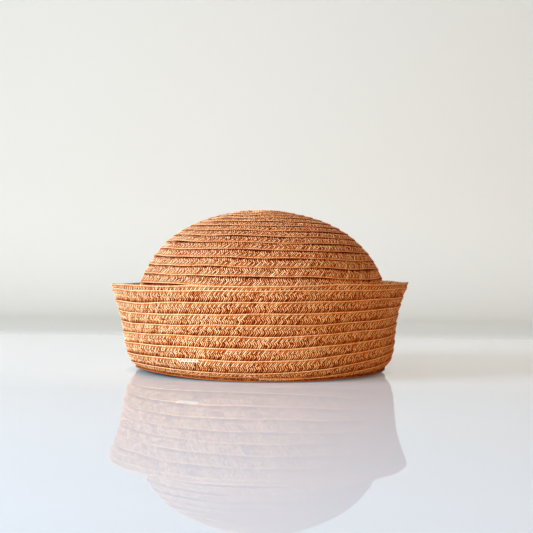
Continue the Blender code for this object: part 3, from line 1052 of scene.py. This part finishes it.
def stage_mesh():
    """One strip from the near end of the floor round the bend and up the wall."""
    arc = np.linspace(0, math.pi / 2, STAGE_BEND_POINTS)
    middle = STAGE_FAR - STAGE_BEND
    bend = zip(middle + STAGE_BEND * np.sin(arc), STAGE_BEND - STAGE_BEND * np.cos(arc))
    path = [(STAGE_NEAR, 0.0), *bend, (STAGE_FAR, STAGE_HEIGHT)]
    vertices = [(x, y, z) for y, z in path for x in (-STAGE_HALF_WIDTH, STAGE_HALF_WIDTH)]
    faces = [(2 * i, 2 * i + 1, 2 * i + 3, 2 * i + 2) for i in range(len(path) - 1)]
    mesh = bpy.data.meshes.new("stage_floor")
    mesh.from_pydata(vertices, [], faces)
    for bent in mesh.polygons[1:-1]:
        bent.use_smooth = True
    return mesh


def stage_material():
    """A pale floor that mirrors near the hat, is matt on the wall and fades to a plain background.

    It glows a little where it is seen, but not under the hat, and throws warm light back at the hat.
    """
    shading = Shading("stage_floor")
    inputs = shading.shader.inputs
    parts = shading.parts(shading.place())
    colour = shading.ramp(shading.share(parts["Y"], STAGE_COLOUR_RANGE), STAGE_STOPS)
    shading.feed(inputs["Base Color"], colour)
    from_hat = shading.nodes.new("ShaderNodeVectorMath")
    from_hat.operation = "LENGTH"
    shading.feed(from_hat.inputs[0], shading.place())
    clear = shading.share(from_hat.outputs["Value"], STAGE_GLOW_RANGE)
    seen = shading.seen()
    glow = shading.math("MULTIPLY", shading.math("MULTIPLY", seen, clear), STAGE_GLOW)
    inputs["Emission Color"].default_value = STAGE_GLOW_COLOUR
    shading.feed(inputs["Emission Strength"], glow)
    wall = shading.share(parts["Y"], STAGE_WALL_RANGE)
    rough = shading.math("MULTIPLY_ADD", wall, STAGE_WALL_ROUGHNESS, STAGE_ROUGHNESS)
    shading.feed(inputs["Roughness"], rough)
    inputs["Specular IOR Level"].default_value = STAGE_SPECULAR
    matt = shading.node("ShaderNodeBsdfDiffuse", "BSDF", Color=colour)
    near_hat = shading.mixed(STAGE_MATT_SHARE, shading.shader.outputs["BSDF"], matt)
    towards_front = shading.math("MULTIPLY", parts["Y"], -1.0)
    away = shading.math("MAXIMUM", shading.math("ABSOLUTE", parts["X"]), towards_front)
    plain = shading.node("ShaderNodeEmission", "Emission", Color=PLAIN_BACKGROUND)
    looks = shading.mixed(shading.share(away, STAGE_FADE_RANGE), near_hat, plain)
    warm = shading.node("ShaderNodeBsdfDiffuse", "BSDF", Color=shading.scaled(colour, STAGE_WARMTH))
    both = shading.mixed(seen, warm, looks)
    shading.feed(shading.nodes["Material Output"].inputs["Surface"], both)
    return shading.material


def make_stage():
    """A pale, glossy floor that turns up into a matt backdrop."""
    mesh = stage_mesh()
    mesh.materials.append(stage_material())
    floor = bpy.data.objects.new("stage_floor", mesh)
    bpy.context.scene.collection.objects.link(floor)


def make_light():
    """Three lamps, and a sky white on the left and golden on the right that is seen as plain."""
    world = bpy.data.worlds.new("studio")
    bpy.context.scene.world = world
    shading = Shading("studio", world)
    sky = shading.nodes["Background"]
    parts = shading.parts(shading.nodes.new("ShaderNodeTexCoord").outputs["Generated"])
    across = shading.share(parts["X"], (-1.0, 1.0))
    shading.feed(sky.inputs["Color"], shading.ramp(across, SKY_STOPS))
    sky.inputs["Strength"].default_value = SKY_STRENGTH
    plain = shading.node("ShaderNodeBackground", "Background", Color=PLAIN_BACKGROUND)
    both = shading.mixed(shading.seen(), sky.outputs["Background"], plain)
    shading.feed(shading.nodes["World Output"].inputs["Surface"], both)
    for lamp in LAMPS:
        add_lamp(*lamp)


def add_lamp(name, place, energy, colour):
    """A round soft lamp that points at the hat and isn't mirrored in the floor."""
    lamp = bpy.data.lights.new(name, "AREA")
    lamp.energy = energy
    lamp.shape = "DISK"
    lamp.size = LAMP_SIZE
    lamp.spread = LAMP_SPREAD
    lamp.color = colour
    obj = bpy.data.objects.new(name, lamp)
    obj.location = place
    obj.rotation_mode = "QUATERNION"
    obj.rotation_quaternion = (-obj.location).to_track_quat("-Z", "Y")
    obj.visible_glossy = False
    bpy.context.scene.collection.objects.link(obj)


def make_camera():
    """The camera at the photo's place."""
    camera = bpy.data.objects.new("camera", bpy.data.cameras.new("camera"))
    camera.data.sensor_width = CAMERA_SENSOR
    camera.data.lens = CAMERA_LENS
    camera.location = (0.0, -CAMERA_DISTANCE, CAMERA_HEIGHT)
    camera.rotation_mode = "QUATERNION"
    aim = Euler((math.pi / 2 + CAMERA_TILT, 0, CAMERA_TURN)).to_quaternion()
    camera.rotation_quaternion = aim @ Quaternion((0, 0, 1), CAMERA_ROLL)
    bpy.context.scene.collection.objects.link(camera)
    bpy.context.scene.camera = camera


def make_braids(crown, brim, crown_straw_shaded, straw):
    """The straws and selvages of crown and brim."""
    braid("crown", crown, CROWN_PIECES, CROWN_TONE, "crown_braid", crown_straw_shaded, seed=31)
    braid("brim", brim, BRIM_PIECES, BRIM_TONE, "brim_braid", straw, seed=32)
    selvage("crown_selvage", crown, True, CROWN_SELVAGE_TONES, "crown_braid", crown_straw_shaded, seed=33)
    selvage("crown_inner_selvage", crown, False, INNER_SELVAGE_TONES, "crown_braid", crown_straw_shaded, seed=34)
    selvage("brim_selvage", brim, True, BRIM_SELVAGE_TONES, "brim_braid", straw, seed=35)
    selvage("brim_inner_selvage", brim, False, INNER_SELVAGE_TONES, "brim_braid", straw, seed=36)


def make_sewing(crown, brim, thread):
    """The stitches of the laps and of the foot. Those of the crown are in two pieces."""
    ends = (CROWN_STITCH_START, CROWN_STITCH_SPLIT, crown.turns - 1)
    for number, turns in enumerate(zip(ends[:-1], ends[1:]), 1):
        name = f"crown_lap_stitches_{number}"
        stitch_row(name, crown, turns, LAP_SEAM, STITCH_LIFT, "crown_lap_thread", thread, seed=50 + number)
    turns = (BRIM_BEGIN + BRIM_STITCH_MARGINS[0], brim.turns - BRIM_STITCH_MARGINS[1])
    stitch_row("brim_lap_stitches", brim, turns, LAP_SEAM, STITCH_LIFT, "brim_lap_thread", thread, seed=38)
    stitch_row(
        "headline_stitches", brim, HEADLINE_STITCH_TURNS, brim.foot_seam, HEADLINE_STITCH_LIFT,
        "headline_thread", thread, seed=39,
    )


def make_hat():
    """All the pieces of the hat."""
    straw = straw_material("straw_braid", STRAW_STOPS)
    crown_straw_shaded = straw_material("crown_straw_shaded", CROWN_SHADED_STOPS)
    headline_straw = straw_material("headline_straw", HEADLINE_STOPS)
    tan_thread = thread_material("sewing_thread", TAN_THREAD, roughness=0.7)
    white_thread = thread_material("mending_cotton", WHITE_THREAD, roughness=0.8)
    grosgrain = ribbon_material("grosgrain_ribbon", RIBBON_COLOURS)
    crown = crown_winding()
    brim = brim_winding()
    make_braids(crown, brim, crown_straw_shaded, straw)
    make_sewing(crown, brim, tan_thread)
    mending("mending_stitches", brim, white_thread)
    headline("headline", Ring(headline_outline(), seed=43, lean=1), headline_straw)
    ribbon = Ribbon(crown)
    sweatband("sweatband_ribbon", ribbon, grosgrain)
    stitch_row(
        "sweatband_stitches", ribbon, SWEATBAND_STITCH_TURNS, SWEATBAND_SEAM,
        STITCH_LIFT - SWEATBAND_THICKNESS, "sweatband_thread", tan_thread, seed=44,
    )


make_hat()
make_stage()
make_light()
make_camera()
bpy.context.scene.view_settings.view_transform = "Standard"
bpy.context.scene.cycles.denoising_prefilter = "NONE"
